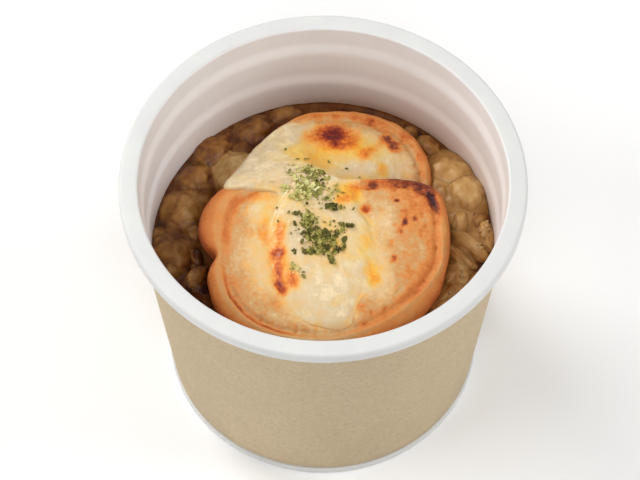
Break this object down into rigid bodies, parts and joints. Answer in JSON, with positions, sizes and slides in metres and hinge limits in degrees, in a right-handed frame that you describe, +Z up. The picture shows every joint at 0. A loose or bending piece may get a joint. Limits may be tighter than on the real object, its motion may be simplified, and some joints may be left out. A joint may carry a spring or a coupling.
{
  "type": "french onion soup",
  "caption": "French onion soup in a white takeaway cup with a card sleeve, topped with toasted bread slices under melted cheese.",
  "frame": {"origin": "middle of the cup's foot, on the surface the cup stands on", "axes": "+Z up along the cup's axis; +Y towards the rear of the cup, where the back slice lies; +X to the right as seen from the front"},
  "size_m": [0.1204, 0.1204, 0.0934],
  "materials": {
    "white_plastic": "satin",
    "kraft_card": "matte",
    "broth": "gloss",
    "stewed_onion": "gloss",
    "toast": "matte",
    "melted_cheese": "satin"
  },
  "bodies": {
    "root": {"cup": "white_plastic", "sleeve": "kraft_card", "broth": "broth", "onions_left": "stewed_onion", "onions_right": "stewed_onion", "bread_back": "toast", "bread_front": "toast", "cheese": "melted_cheese"}
  },
  "joints": []
}
